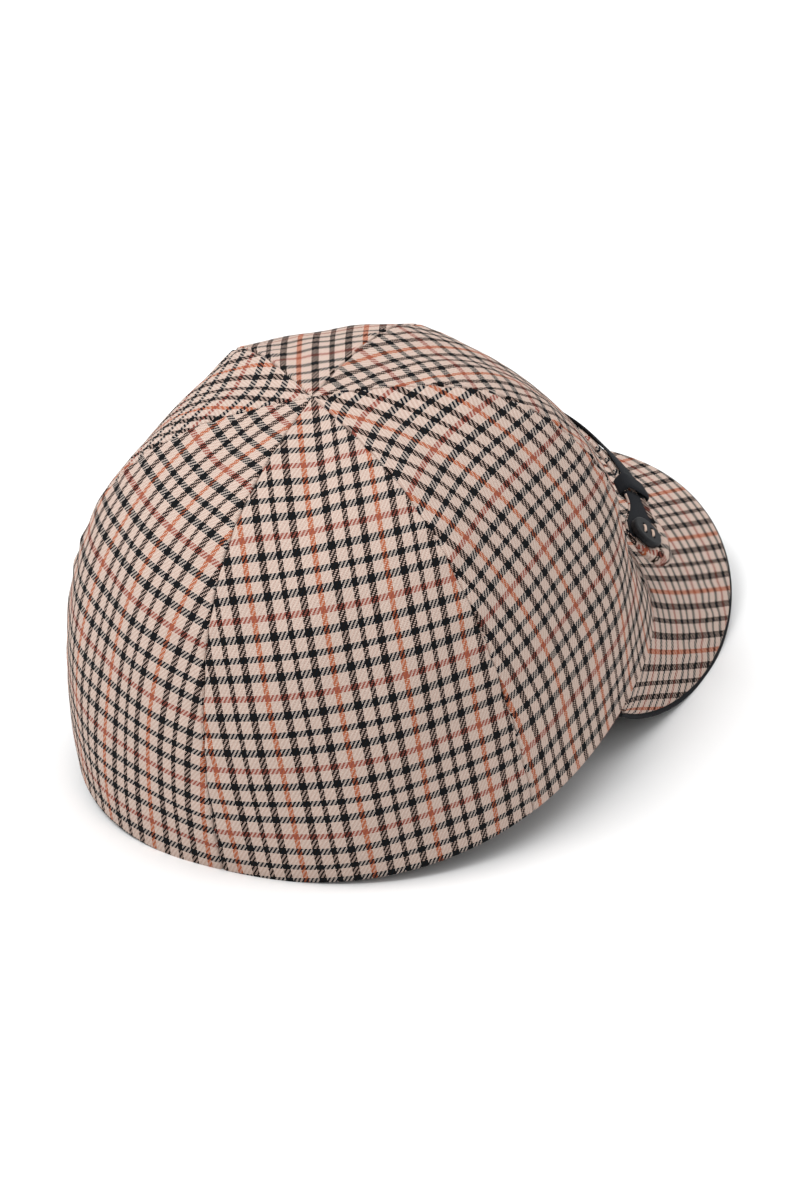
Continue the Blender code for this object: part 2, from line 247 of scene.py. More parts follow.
def makeTwillGroup():
    # Which thread lies on top at a point of the cloth, and how round and high it is there.
    # Threads of both ways are counted, and a 2/2 twill shows the warp where (warp - weft) mod 4 is under 2.
    group, given, made = newGroup(
        "twillWeave",
        [("Cloth", "Vector"), ("Warp Spacing", "Float"), ("Weft Spacing", "Float")],
        [("Warp Count", "Float"), ("Weft Count", "Float"), ("Warp On Top", "Float"), ("Height", "Float"),
         ("Fibre", "Float")],
    )
    split = addNode(group, "ShaderNodeSeparateXYZ")
    plug(group, given.outputs["Cloth"], split.inputs[0])
    across = calc(group, "DIVIDE", split.outputs["X"], given.outputs["Warp Spacing"])
    along = calc(group, "DIVIDE", split.outputs["Y"], given.outputs["Weft Spacing"])
    warpCount = calc(group, "FLOOR", across)
    weftCount = calc(group, "FLOOR", along)
    lag = calc(group, "FLOORED_MODULO", calc(group, "SUBTRACT", warpCount, weftCount), weave["repeat"])
    onTop = calc(group, "LESS_THAN", lag, weave["onTop"])
    side = addNode(group, "ShaderNodeMix", data_type="FLOAT")
    plug(group, onTop, side.inputs["Factor"])
    plug(group, threadSide(group, along), side.inputs[2])
    plug(group, threadSide(group, across), side.inputs[3])
    fall = calc(group, "POWER", calc(group, "ABSOLUTE", side.outputs[0]), weave["roundPower"])
    height = calc(group, "SUBTRACT", 1.0, fall)
    fibre = addNode(group, "ShaderNodeTexNoise", noise_dimensions="2D")
    plug(group, given.outputs["Cloth"], fibre.inputs["Vector"])
    fibre.inputs["Scale"].default_value = weave["fibreScale"]
    fibre.inputs["Detail"].default_value = weave["fibreDetail"]
    for title, value in (("Warp Count", warpCount), ("Weft Count", weftCount), ("Warp On Top", onTop),
                         ("Height", height), ("Fibre", fibre.outputs["Fac"])):
        plug(group, value, made.inputs[title])
    return group


check = {
    "warpSpacing": 0.0203 / 64, "weftSpacing": 0.0236 / 48,
    "warpGround": (0.710, 0.590, 0.510, 1), "weftGround": (0.565, 0.415, 0.350, 1),
    "warpDark": (0.0120, 0.0080, 0.0070, 1), "weftDark": (0.0060, 0.0085, 0.0140, 1),
    "orange": (0.440, 0.125, 0.055, 1), "rust": (0.300, 0.085, 0.062, 1),
    "warpThreads": 16.0, "warpHalf": 2.2, "warpWider": 1.1,
    "weftThreads": 12.0, "weftHalf": 2.0, "weftWider": 0.6, "stripeShift": 0.1,
    # The share after fibreTone is painted shade on the sides of each thread.
    "sideLow": 0.55, "sideHigh": 1.0, "fibreTone": 0.20, "threadSideShade": 0.35,
    "relief": 0.00016, "bump": 0.5, "roughness": 0.92, "specular": 0.06,
}


def stripeMask(tree, count, threads, half, wider):
    # 1 where the thread lies in a stripe, and 1 where that stripe is the bright one, the first of four.
    # Stripes 2 and 4 are wider.
    place = calc(tree, "FLOORED_MODULO", count, threads * 4)
    number = calc(tree, "FLOOR", calc(tree, "DIVIDE", place, threads))
    middle = threads / 2 - check["stripeShift"]
    within = calc(tree, "SUBTRACT", calc(tree, "FLOORED_MODULO", place, threads), middle)
    more = calc(tree, "MULTIPLY", calc(tree, "FLOORED_MODULO", number, 2.0), wider)
    width = calc(tree, "ADD", half, more)
    mask = calc(tree, "LESS_THAN", calc(tree, "ABSOLUTE", within), width)
    bright = calc(tree, "LESS_THAN", number, 0.5)
    return mask, bright


def darkenBy(tree, color, shade):
    # The colour times a grey of this brightness.
    grey = addNode(tree, "ShaderNodeCombineColor")
    for socket in grey.inputs[:3]:
        plug(tree, shade, socket)
    return blendColor(tree, 1.0, color, grey.outputs[0], "MULTIPLY")


def finishCloth(tree, shader, color, height, looks):
    # Colour and thread relief feed the shader, and what is the same all over sits on its sockets.
    plug(tree, color, shader.inputs["Base Color"])
    bump = addNode(tree, "ShaderNodeBump")
    bump.inputs["Distance"].default_value = looks["relief"]
    bump.inputs["Strength"].default_value = looks["bump"]
    plug(tree, height, bump.inputs["Height"])
    plug(tree, bump.outputs[0], shader.inputs["Normal"])
    shader.inputs["Roughness"].default_value = looks["roughness"]
    shader.inputs["Specular IOR Level"].default_value = looks["specular"]


def newMaterial(name):
    material = bpy.data.materials.new(name)
    material.use_nodes = True
    return material, material.node_tree, material.node_tree.nodes["Principled BSDF"]


def makeCheckCloth(name, twill, offset):
    # Offset is where the bright stripes lie on this piece, across and along.
    material, tree, shader = newMaterial(name)
    uv = addNode(tree, "ShaderNodeUVMap", uv_map="cloth")
    moved = addNode(tree, "ShaderNodeVectorMath", operation="SUBTRACT")
    plug(tree, uv.outputs[0], moved.inputs[0])
    # The bright stripe's middle is half of its own share of threads from the start.
    startU = offset[0] - check["warpThreads"] / 2 * check["warpSpacing"]
    startV = offset[1] - check["weftThreads"] / 2 * check["weftSpacing"]
    moved.inputs[1].default_value = (startU, startV, 0.0)
    woven = addNode(tree, "ShaderNodeGroup", node_tree=twill)
    plug(tree, moved.outputs[0], woven.inputs["Cloth"])
    woven.inputs["Warp Spacing"].default_value = check["warpSpacing"]
    woven.inputs["Weft Spacing"].default_value = check["weftSpacing"]
    warp, warpBright = stripeMask(
        tree, woven.outputs["Warp Count"], check["warpThreads"], check["warpHalf"], check["warpWider"])
    weft, weftBright = stripeMask(
        tree, woven.outputs["Weft Count"], check["weftThreads"], check["weftHalf"], check["weftWider"])
    warpStripe = blendColor(tree, warpBright, check["warpDark"], check["orange"])
    weftStripe = blendColor(tree, weftBright, check["weftDark"], check["rust"])
    warpColor = blendColor(tree, warp, check["warpGround"], warpStripe)
    weftColor = blendColor(tree, weft, check["weftGround"], weftStripe)
    top = blendColor(tree, woven.outputs["Warp On Top"], weftColor, warpColor)
    # A dark thread under a light one shows along its sides.
    both = blendColor(tree, 1.0, warpColor, weftColor, "DARKEN")
    core = addNode(tree, "ShaderNodeMapRange", interpolation_type="SMOOTHSTEP")
    core.inputs["From Min"].default_value = check["sideLow"]
    core.inputs["From Max"].default_value = check["sideHigh"]
    plug(tree, woven.outputs["Height"], core.inputs["Value"])
    thread = blendColor(tree, core.outputs[0], both, top)
    # Fibres vary the tone, and painted shade makes the sides of each thread darker than its crest.
    fibre = calc(tree, "SUBTRACT", woven.outputs["Fibre"], 0.5)
    lighter = calc(tree, "MULTIPLY", fibre, check["fibreTone"] * 2)
    tone = calc(tree, "ADD", 1.0 - check["fibreTone"] / 2, lighter)
    crest = calc(tree, "MULTIPLY", woven.outputs["Height"], check["threadSideShade"])
    threadSideShade = calc(tree, "ADD", 1.0 - check["threadSideShade"], crest)
    color = darkenBy(tree, thread, calc(tree, "MULTIPLY", tone, threadSideShade))
    finishCloth(tree, shader, color, woven.outputs["Height"], check)
    return material


dark = {
    # The two tones paint shade on each thread's sides and light on its crest.
    "color": (0.011, 0.012, 0.0145, 1), "spacing": 0.00028, "sideTone": 0.7, "threadCrestLightTone": 0.5,
    "relief": 0.0001, "bump": 0.4, "roughness": 0.85, "specular": 0.15,
}


def makeDarkCloth(name, twill):
    # Plain near-black cloth with a finer twill of its own.
    material, tree, shader = newMaterial(name)
    uv = addNode(tree, "ShaderNodeUVMap", uv_map="cloth")
    woven = addNode(tree, "ShaderNodeGroup", node_tree=twill)
    plug(tree, uv.outputs[0], woven.inputs["Cloth"])
    woven.inputs["Warp Spacing"].default_value = dark["spacing"]
    woven.inputs["Weft Spacing"].default_value = dark["spacing"]
    # Painted shade and light: each thread is darker at its sides and lighter at its crest.
    crest = calc(tree, "MULTIPLY", woven.outputs["Height"], dark["threadCrestLightTone"])
    color = darkenBy(tree, dark["color"], calc(tree, "ADD", dark["sideTone"], crest))
    finishCloth(tree, shader, color, woven.outputs["Height"], dark)
    return material


twill = makeTwillGroup()
darkCloth = makeDarkCloth("darkCloth", twill)
print("cloths made")


# Where the bright stripes lie across and along each panel, from its middle at the hem.
panelStripes = {
    "rear_right": (-0.0046, 0.0188), "rear_left": (0.0067, 0.0120),
    "side_right": (0.0078, -0.0002), "side_left": (-0.0037, 0.0120),
    "front_right": (0.0082, 0.0090), "front_left": (0.0038, 0.0090),
}
# The side panels' threads lie this much closer above the hem, and lean by this much.
sideEase = {"closer": 0.13, "rise": 0.040, "lean": 0.11, "leanRise": 0.050, "pivot": 0.060}
# Limits of how the cut gores bend, and the rows that their bend is averaged over.
gore = {"bendLow": -4.0, "bendHigh": 400.0, "bendLeast": 0.05, "bendRows": 9, "turnMost": 1.2}


def panelRows():
    # Climbs from the hem to just below the apex, closer together at the hem's round edge.
    top = math.acos((2 * crown["apexGap"] / crown["width"]) ** (1 / crown["shoulder"]))
    fine = top * (1 - np.linspace(1, 0, crown["fineSteps"]) ** 3)
    length = runLength(crownPoint(math.pi / 2, fine, 0.0), 0)
    edge = crown["hemRound"] * np.array(crown["hemRows"])
    body = np.linspace(crown["hemRound"] * crown["bodyRows"], length[-1], crown["rows"])
    return np.interp(np.concatenate([edge, body]), length, fine)


def panelColumns():
    # Shares across a panel, closer together beside the seams.
    edge = np.array(crown["seamColumns"])
    body = np.linspace(crown["bodyColumns"], 1 - crown["bodyColumns"], crown["columns"])
    return np.concatenate([edge, body, 1 - edge[::-1]])


def clothGrid(base, middle):
    # Flat place of each point of a gore: along its rows by arc length, each row bent round the point where
    # the panel's edges would meet, so that straight threads stay straight on the cut cloth.
    across = runLength(base, 0)
    across = across - across[middle:middle + 1]
    up = runLength(base[middle], 0)
    half = (across[-1] - across[0]) / 2
    bend = -np.gradient(half, up) / np.maximum(half, 1e-4)
    bend = np.clip(bend, gore["bendLow"], gore["bendHigh"])
    rows = gore["bendRows"]
    bend = np.convolve(np.pad(bend, rows // 2, mode="edge"), np.ones(rows) / rows, mode="valid")
    bend = np.where(np.abs(bend) < gore["bendLeast"], gore["bendLeast"], bend)
    turn = np.clip(across * bend, -gore["turnMost"], gore["turnMost"])
    u = np.sin(turn) / bend
    v = up + (1 - np.cos(turn)) / bend
    return u, v


def crownPanel(name, first, last, seed):
    # The crown between two seams, moved along its normals by puckers and waves, less the round edges' fall.
    shares = panelColumns()
    angle = np.radians(first + (last - first) * shares)[:, None]
    climb = panelRows()[None, :]
    base = crownPoint(angle, climb)
    normal = crownNormal(*np.broadcast_arrays(angle, climb))
    up = runLength(base[len(shares) // 2], 0)
    across = runLength(base, 0)
    fromSeam = np.minimum(across, across[-1:] - across)
    # Puckers run across the seams and fade away from them, and slow waves lie over the whole panel.
    firstSeam = across < across[-1:] - across
    seamAngle = np.where(firstSeam, first, last)
    phase = up / crown["puckerLength"] * 2 * math.pi + seamAngle * crown["puckerShift"]
    uneven = crown["puckerUneven"] * np.sin(phase * crown["puckerDrift"] + 1.0)
    pucker = np.sin(phase + uneven) * np.exp(-fromSeam / crown["puckerReach"])
    fade = smooth(up / crown["hemFade"])[None, :] * smooth((up[-1] - up) / crown["topFade"])[None, :]
    place = shares[:, None]
    waves = np.sin(crown["waveAcross"] * place + crown["waveUp"] * up + seed)
    waves = waves * np.sin(crown["slowUp"] * up + crown["slowAcross"] * place + 2 * seed)
    waves = waves * smooth(fromSeam / crown["waveFade"])
    soft = (crown["puckerDepth"] * pucker + crown["wave"] * waves) * fade
    roundness = np.minimum(crown["seamRound"], (across[-1:] - across[:1]) / 4)
    seam = roundedDrop(fromSeam, roundness)
    hem = roundedDrop(up, crown["hemRound"])[None, :]
    outer = base + normal * (soft - seam - hem)[..., None]
    depth = np.maximum(crown["cloth"] - hem, crown["thinnest"])
    inner = base + normal * (soft - depth)[..., None]
    u, v = clothGrid(base, len(shares) // 2)
    # Seen from outside, the cloth's right is towards smaller angles.
    sign = 1 if last > first else -1
    u = -u * sign
    if name.startswith("side"):
        pivot = -sideEase["pivot"] * sign
        v = v + sideEase["lean"] * sign * u * smooth(v / sideEase["leanRise"])
        u = pivot + (u - pivot) * (1 - sideEase["closer"] * smooth(v / sideEase["rise"]))
    uv = np.stack([u, v], -1)
    return atRest(outer), atRest(inner), uv


seams = [0.0, crown["sideSeam"], crown["rearSeam"], crown["backSeam"]]
for number, place in enumerate(("front", "side", "rear")):
    for side, sign in (("right", 1), ("left", -1)):
        name = f"{place}_{side}"
        seed = number * crown["seedStep"] + sign
        outer, inner, uv = crownPanel(name, sign * seams[number], sign * seams[number + 1], seed)
        piece = shellPiece("crown_" + name, outer, inner, uv)
        cloth = makeCheckCloth("checkCloth_" + name, twill, panelStripes[name])
        finishPiece(piece, "panel_" + name, cloth)
print("crown panels made")


peak = {
    "length": 0.0805, "halfAngle": 88.5, "taper": 0.95, "shape": 1.8, "fan": 0.40,
    "droopMiddle": 22.5, "droopSide": 97.5,
    "cover": 0.0011, "board": 0.0022, "sideBoard": 0.7, "lip": 0.0020, "sideLip": 2.5,
    "end": 0.985, "start": -0.0010, "gap": 0.0003,
    "columns": 150, "rows": 60, "bodyRows": 0.955,
    "edgeRows": (0.030, 0.020, 0.012, 0.006, 0.002, 0.0),
    "edgeRound": 0.0009, "boardRound": 0.0010, "thinnest": 0.0003, "sink": 0.75, "sinkReach": 0.0022,
    "rumple": 0.00045, "rumpleAngle": 52.0, "rumpleSpread": 16.0, "rumpleFromEdge": 0.012,
    "rumpleReach": 0.009, "rumpleRate": 1.15, "rumpleSlant": 9.0,
    "threadDown": 20.0, "threadTurn": -3.0, "clothTurn": 9.0, "clothEase": 0.836,
    "drawnBack": 0.45, "drawnSoft": 0.020, "stripes": (0.0176, 0.0040),
}


def peakPoint(angle, share, lip=0.0):
    # Straight lines from the hem, drooping and shortening towards the sides.
    side = np.abs(angle) / math.radians(peak["halfAngle"])
    reach = lip * (1 + peak["sideLip"] * side**3) * np.sqrt(1 - side**2)
    length = peak["length"] * (1 - side ** peak["shape"]) ** peak["taper"] + reach
    droop = np.radians(peak["droopMiddle"] + (peak["droopSide"] - peak["droopMiddle"]) * side**2)
    turn = peak["fan"] * angle
    line = np.stack([-np.cos(droop) * np.sin(turn), -np.cos(droop) * np.cos(turn), -np.sin(droop)], -1)
    root = crownPoint(angle, 0 * angle)
    return root + line * (peak["start"] + (length - peak["start"]) * share)[..., None]


def peakNormal(angle, share):
    # The cross product of the peak's slopes around and along.
    around = peakPoint(angle + step, share) - peakPoint(angle - step, share)
    along = peakPoint(angle, share + step) - peakPoint(angle, share - step)
    return unit(np.cross(around, along))


def peakGrid(lip):
    # Angle, share, place, normal and distance from the front edge at every point of the peak's grid.
    half = math.radians(peak["halfAngle"]) * peak["end"]
    angle = np.linspace(-half, half, peak["columns"] + 1)[:, None]
    edge = 1 - np.array(peak["edgeRows"])
    share = np.concatenate([np.linspace(0, peak["bodyRows"], peak["rows"]), edge])[None, :]
    angle, share = np.broadcast_arrays(angle, share)
    top = peakPoint(angle, share, lip)
    length = np.linalg.norm(top[:, -1:] - top[:, :1], axis=-1)
    return angle, share, top, peakNormal(angle, share), length * (1 - share)


def peakCloth(top):
    # The peak is bent like a sheet round one direction: threads keep their distance round the arch, and run
    # along that direction.
    down, turn = math.radians(peak["threadDown"]), math.radians(peak["threadTurn"])
    thread = np.array([math.sin(turn) * math.cos(down), -math.cos(turn) * math.cos(down), -math.sin(down)])
    resting = atRest(top)
    along = resting @ thread
    flat = resting - along[..., None] * thread
    around = runLength(flat, 0)
    around = around - around[around.shape[0] // 2]
    # The flat cloth is turned a little in its own plane and eased round the arch, and its cross threads are
    # drawn back towards the crown at both sides.
    turn = math.radians(peak["clothTurn"])
    u = around * math.cos(turn) - along * math.sin(turn)
    v = around * math.sin(turn) + along * math.cos(turn)
    back = np.sqrt(around**2 + peak["drawnSoft"] ** 2) - peak["drawnSoft"]
    return np.stack([u * peak["clothEase"], v + peak["drawnBack"] * back], -1)


def makePeak():
    angle, share, top, normal, fromEdge = peakGrid(0.0)
    edge = roundedDrop(fromEdge, peak["edgeRound"])
    # A few small puckers lie on the cover by the low right edge, where the cloth turns under.
    turn = (np.degrees(angle) - peak["rumpleAngle"]) / peak["rumpleSpread"]
    inward = (fromEdge - peak["rumpleFromEdge"]) / peak["rumpleReach"]
    ripple = np.sin(np.degrees(angle) * peak["rumpleRate"] + share * peak["rumpleSlant"])
    rumple = peak["rumple"] * np.exp(-(turn**2) - inward**2) * ripple
    outer = top + normal * (rumple - edge)[..., None]
    inner = top - normal * np.maximum(peak["cover"], edge + peak["thinnest"])[..., None]
    piece = shellPiece("peak_top", atRest(outer), atRest(inner), peakCloth(top))
    cloth = makeCheckCloth("checkCloth_peak", twill, peak["stripes"])
    finishPiece(piece, "peak_cover", cloth)

    angle, _, top, normal, fromEdge = peakGrid(peak["lip"])
    edge = roundedDrop(fromEdge, peak["boardRound"])
    # The board reaches past the cover, rises towards it at the edge, and is thicker at the sides.
    rise = np.exp(-((fromEdge / peak["sinkReach"]) ** 2)) * peak["cover"] * peak["sink"]
    high = peak["cover"] + peak["gap"] - rise
    side = np.degrees(np.abs(angle)) / peak["halfAngle"]
    low = peak["cover"] + peak["gap"] + peak["board"] * (1 + peak["sideBoard"] * side**3)
    outer = top - normal * (high + edge)[..., None]
    inner = top - normal * (low - edge)[..., None]
    piece = shellPiece("peak_lining", atRest(outer), atRest(inner), peakCloth(top))
    finishPiece(piece, "peak_underside", darkCloth)


makePeak()
print("peak made")


strap = {
    "width": 0.0105, "cloth": 0.0022, "backing": 0.0009, "gap": 0.0003, "edgePower": 6, "edgeLeast": 0.02,
    "rollRise": 0.0018, "rollMiddle": -0.55, "rollSpread": 0.30, "rollPower": 6,
    "tipRoll": 0.0028, "tipRollSpread": 0.0020,
    "tipRollTop": 0.3, "tipRollFade": 0.4, "rollFade": 0.5, "tipLength": 0.0014, "tipLeast": 0.15,
    # The next values place a near-black sheet of painted shade on the tab.
    "shadeSheetStart": 0.0045, "shadeSheetLow": -0.15, "shadeSheetHigh": 0.96, "shadeSheetOut": 0.00025, "shadeSheetIn": 0.0003,
    "shadeSheetRows": 60, "shadeSheetColumns": 24,
    "frontHeight": 0.033, "frontStandOff": 0.0085, "frontRoll": 10.0,
    "sideHeight": 0.0215, "sideStandOff": 0.0020, "sideRoll": 35.0,
    "endAngle": 59.5, "tabWidth": 0.020, "tabLength": 0.037, "tabCloth": 0.0030,
    "tabPower": 4, "tabLeast": 0.01, "tabRows": 44, "tabColumns": 48, "tipRows": 26, "tipBend": 84.0,
    "keeperLength": 0.0070, "keeperWall": 0.0009, "keeperClearance": 0.0003, "keeperInside": 0.0001,
    "keeperCorner": 0.45, "keeperPower": 6, "keeperLeast": 0.05, "keeperStations": 15, "keeperSides": 64,
    "columns": 120, "rows": 16, "fineSteps": 1200,
    "stripes": (0.0020, 0.0060), "tabStripes": (0.0030, 0.0020),
}


def strapFrame(angle):
    # Middle of the strap at an angle: a point of the crown at the strap's height, moved out along the
    # normal. Height, distance and roll go smoothly from their front values to their side values.
    share = smooth(np.abs(angle) / math.radians(strap["endAngle"]))
    height = strap["frontHeight"] + (strap["sideHeight"] - strap["frontHeight"]) * share
    standOff = strap["frontStandOff"] + (strap["sideStandOff"] - strap["frontStandOff"]) * share
    roll = np.radians(strap["frontRoll"] + (strap["sideRoll"] - strap["frontRoll"]) * share)[..., None]
    climb = np.arcsin((height / crown["height"]) ** (1 / crown["risePower"]))
    normal = crownNormal(angle, climb)
    return crownPoint(angle, climb, 0.0) + normal * standOff[..., None], normal, roll


def strapPoint(angle, across, out):
    # The strap's middle plus a distance across its width and a distance out of its face.
    middle, normal, roll = strapFrame(angle)
    along = unit(strapFrame(angle + step)[0] - strapFrame(angle - step)[0])
    up = unit(np.cross(along, normal))
    up = np.where(up[..., 2:] < 0, -up, up)
    outOf = unit(np.cos(roll) * normal + np.sin(roll) * up)
    wide = unit(np.cos(roll) * up - np.sin(roll) * normal)
    return middle + wide * across[..., None] + outOf * out[..., None]


def strapAngles(lengths):
    # The angle at each distance along the strap from its end.
    fine = np.radians(np.linspace(strap["endAngle"], 0, strap["fineSteps"]))
    return np.interp(lengths, runLength(strapFrame(fine)[0], 0), fine)


keeperMiddle = strap["tabLength"] - strap["keeperLength"] / 2


def bandPiece(name, low, high):
    # A band whose edges are rounded, between two distances from the strap's middle face.
    end = float(strapAngles(strap["tabLength"] + strap["gap"]))
    angle = np.linspace(-end, end, strap["columns"] + 1)[:, None]
    share = np.sin(np.linspace(-math.pi / 2, math.pi / 2, strap["rows"] + 1))[None, :]
    angle, share = np.broadcast_arrays(angle, share)
    across = share * strap["width"] / 2
    middle, half = (low + high) / 2, (high - low) / 2
    bulge = half * np.sqrt(np.maximum(1 - np.abs(share) ** strap["edgePower"], strap["edgeLeast"]))
    outer = strapPoint(angle, across, middle + bulge)
    inner = strapPoint(angle, across, middle - bulge)
    length = runLength(outer[:, strap["rows"] // 2], 0)[:, None] + 0 * across
    uv = np.stack([across, length], -1)
    return shellPiece(name, atRest(outer), atRest(inner), uv)


def tabHalf(length):
    # Half the tab's width: a half circle at the tip, then narrowing smoothly to the keeper.
    radius = strap["tabWidth"] / 2
    inTip = np.sqrt(np.maximum(radius**2 - np.maximum(radius - length, 0) ** 2, 1e-7))
    narrowing = smooth((length - radius) / (keeperMiddle - strap["keeperLength"] - radius))
    return inTip + (strap["width"] / 2 - radius) * narrowing, narrowing


def tabSurface(length, share):
    # Height of the padded face: a roll along the lower edge and round the tip, and lower under the button.
    narrowing = tabHalf(length)[1]
    thick = strap["tabCloth"] / 2 + (strap["cloth"] - strap["tabCloth"]) / 2 * narrowing
    tip = np.clip(length / strap["tipLength"], 0, 1)
    start = np.sqrt(strap["tipLeast"] + (1 - strap["tipLeast"]) * tip)
    crest = np.sqrt(np.maximum(1 - np.abs(share) ** strap["tabPower"], strap["tabLeast"]))
    bulge = thick * crest * start
    low = np.exp(-(((share - strap["rollMiddle"]) / strap["rollSpread"]) ** 2))
    end = np.exp(-(((length - strap["tipRoll"]) / strap["tipRollSpread"]) ** 2))
    end = end * smooth((strap["tipRollTop"] - share) / strap["tipRollFade"])
    roll = np.maximum(low, end) * (1 - np.abs(share) ** strap["rollPower"])
    return bulge, bulge + strap["rollRise"] * roll * (1 - strap["rollFade"] * narrowing) * np.sqrt(tip)


def tabPiece(name, sign):
    # A padded tab with a round tip: the strap's frame carried to the tip, as wide as tabHalf and as high
    # as tabSurface.
    radius = strap["tabWidth"] / 2
    bend = np.radians(np.linspace(strap["tipBend"], 0, strap["tipRows"]))
    body = np.linspace(radius, strap["tabLength"], strap["tabRows"])[1:]
    length = np.concatenate([radius - radius * np.sin(bend), body])
    centre = strap["tabColumns"] // 2
    share = np.sin(np.linspace(-math.pi / 2, math.pi / 2, strap["tabColumns"] + 1))[None, :]
    across = tabHalf(length)[0][:, None] * share
    angle = sign * strapAngles(length)[:, None] + 0 * across
    bulge, face = tabSurface(length[:, None], share)
    outer = strapPoint(angle, across, face)
    inner = strapPoint(angle, across, -bulge)
    run = runLength(outer[:, centre], 0)[:, None] + 0 * across
    wide = runLength(outer, 1)
    wide = wide - wide[:, centre:centre + 1]
    uv = np.stack([wide, run], -1)
    return shellPiece(name, atRest(outer), atRest(inner), uv)


def tabShadeSheet(name, sign):
    # Painted shade: a near-black sheet over the upper part of the tab, under the button, where the gap
    # between the tab and the crown lies in shade.
    length = np.linspace(strap["shadeSheetStart"], strap["tabLength"] - strap["keeperLength"], strap["shadeSheetRows"])
    share = np.linspace(strap["shadeSheetLow"], strap["shadeSheetHigh"], strap["shadeSheetColumns"])[None, :]
    across = tabHalf(length)[0][:, None] * share
    angle = sign * strapAngles(length)[:, None] + 0 * across
    face = tabSurface(length[:, None], share)[1]
    outer = strapPoint(angle, across, face + strap["shadeSheetOut"])
    inner = strapPoint(angle, across, face - strap["shadeSheetIn"])
    uv = np.stack([across, length[:, None] + 0 * across], -1)
    piece = shellPiece(name, atRest(outer), atRest(inner), uv)
    piece.data.materials.append(darkCloth)
    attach(piece, "root")


def keeperPiece(name, sign):
    # A sleeve with round corners: a flattened ring carried along the strap, with its ends turned in.
    stations = np.linspace(-1, 1, strap["keeperStations"])
    bulge = np.sqrt(np.maximum(1 - stations ** strap["keeperPower"], strap["keeperLeast"]))
    angle = sign * strapAngles(keeperMiddle + strap["keeperLength"] / 2 * stations)
    turn = np.linspace(0, 2 * math.pi, strap["keeperSides"] + 1)
    corner = strap["keeperCorner"]
    ring = np.stack([np.sign(np.cos(turn)) * np.abs(np.cos(turn)) ** corner,
                     np.sign(np.sin(turn)) * np.abs(np.sin(turn)) ** corner], -1)
    inside = np.array([strap["width"], strap["cloth"]]) / 2 + strap["keeperClearance"]
    inside[1] = inside[1] + strap["backing"] / 2
    grids = []
    for wall in (strap["keeperWall"] * bulge, 0 * bulge + strap["keeperInside"]):
        half = inside[None, :] + wall[:, None]
        place = ring[None, :, :] * half[:, None, :]
        station = np.broadcast_to(angle[:, None], place.shape[:2])
        grids.append(atRest(strapPoint(station, place[..., 0], place[..., 1] + strap["backing"] / 2)))
    lengths = runLength(grids[0], 1)
    uv = np.stack([lengths, 0 * lengths + stations[:, None] * strap["keeperLength"] / 2], -1)
    return ringPiece(name, grids[0][:, :-1], grids[1][:, :-1], uv[:, :-1])


def ringPiece(name, outer, inner, uv):
    # A closed sleeve between two grids whose columns go all the way round.
    rows, columns = outer.shape[:2]
    count = rows * columns
    place = np.arange(count).reshape(rows, columns)
    beside = np.roll(place, -1, axis=1)
    quads = np.stack([place[:-1], place[1:], beside[1:], beside[:-1]], -1).reshape(-1, 4)
    start = np.stack([place[0], beside[0], beside[0] + count, place[0] + count], -1)
    end = np.stack([place[-1], place[-1] + count, beside[-1] + count, beside[-1]], -1)
    faces = outwards(np.concatenate([quads, quads[:, ::-1] + count, start, end]), quads, outer, inner)
    piece = newPiece(name, np.concatenate([outer.reshape(-1, 3), inner.reshape(-1, 3)]), faces.tolist())
    layCloth(piece, uv)
    return piece


def makeStrap():
    cloth = strap["cloth"] / 2
    strapCheck = makeCheckCloth("checkCloth_strap", twill, strap["stripes"])
    finishPiece(bandPiece("strap_band", -cloth, cloth), "strap_front", strapCheck)
    backing = cloth + strap["gap"]
    piece = bandPiece("strap_cover", backing, backing + strap["backing"])
    finishPiece(piece, "strap_facing", darkCloth)
    tabCheck = makeCheckCloth("checkCloth_tab", twill, strap["tabStripes"])
    for side, sign in (("right", 1), ("left", -1)):
        tab = tabPiece("strap_tab_" + side, sign)
        finishPiece(tab, "strap_end_" + side, tabCheck)
        keeper = keeperPiece("strap_loop_" + side, sign)
        finishPiece(keeper, "strap_keeper_" + side, darkCloth)
        # Painted shade: a near-black sheet on the upper part of the tab.
        tabShadeSheet("strap_tab_painted_shade_" + side, sign)


makeStrap()
print("strap made")


button = {
    "fromTip": 0.0075, "above": 0.0040, "thickness": 0.0024, "holeSpacing": 0.0034,
    "darkest": (0.005, 0.006, 0.007, 1), "lightest": (0.011, 0.012, 0.014, 1), "grain": 900.0,
    "gloss": 0.40, "glossVaries": 0.2, "specular": 0.22,
    "threadWidth": 0.0010, "threadRise": 0.0006, "threadSink": 0.0004, "threadFlat": 0.7,
    "threadSides": 12, "threadRings": 17, "threadPower": 8, "threadLeast": 0.05,
    "threadGrain": 3000.0, "threadRoughness": 0.9,
    "threadDark": (0.42, 0.30, 0.24, 1), "threadLight": (0.62, 0.47, 0.38, 1),
}


def speckled(tree, shader, scale, first, second):
    # A fine noise on Object coordinates blends two colours, and is given back for the roughness.
    coords = addNode(tree, "ShaderNodeTexCoord")
    noise = addNode(tree, "ShaderNodeTexNoise")
    noise.inputs["Scale"].default_value = scale
    plug(tree, coords.outputs["Object"], noise.inputs["Vector"])
    plug(tree, blendColor(tree, noise.outputs["Fac"], first, second), shader.inputs["Base Color"])
    return noise.outputs["Fac"]


